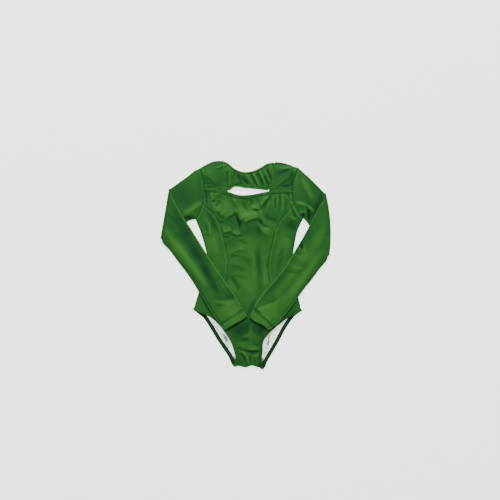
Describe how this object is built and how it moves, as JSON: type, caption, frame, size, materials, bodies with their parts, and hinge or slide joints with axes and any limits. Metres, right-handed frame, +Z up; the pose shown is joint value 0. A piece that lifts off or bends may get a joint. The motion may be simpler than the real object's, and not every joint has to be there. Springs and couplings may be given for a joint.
{
  "type": "long sleeve leotard",
  "caption": "One-piece stretch leotard with long sleeves, gathered neck and chest cut-out, laid flat with the sleeves folded over the front.",
  "frame": {"origin": "centre of the bounding box at its underside, which is the surface the garment lies on", "axes": "+Z up from the surface through the front of the garment, +Y from the crotch to the neck, +X towards the right of the picture"},
  "size_m": [0.5793, 0.7116, 0.0121],
  "materials": {
    "swim_knit": "green stretch knit with a soft sheen",
    "elastic_band": "green knit over elastic",
    "lining_knit": "white matt lining knit"
  },
  "bodies": {
    "root": {"back": "swim_knit", "back_lining": "lining_knit", "front_center": "swim_knit", "front_side_left": "swim_knit", "front_side_right": "swim_knit", "front_yoke": "swim_knit", "chest_band": "elastic_band", "cutout_band": "elastic_band", "neck_band": "elastic_band", "leg_band_left": "elastic_band", "leg_band_right": "elastic_band", "sleeve_left": "swim_knit", "sleeve_right": "swim_knit"}
  },
  "joints": []
}
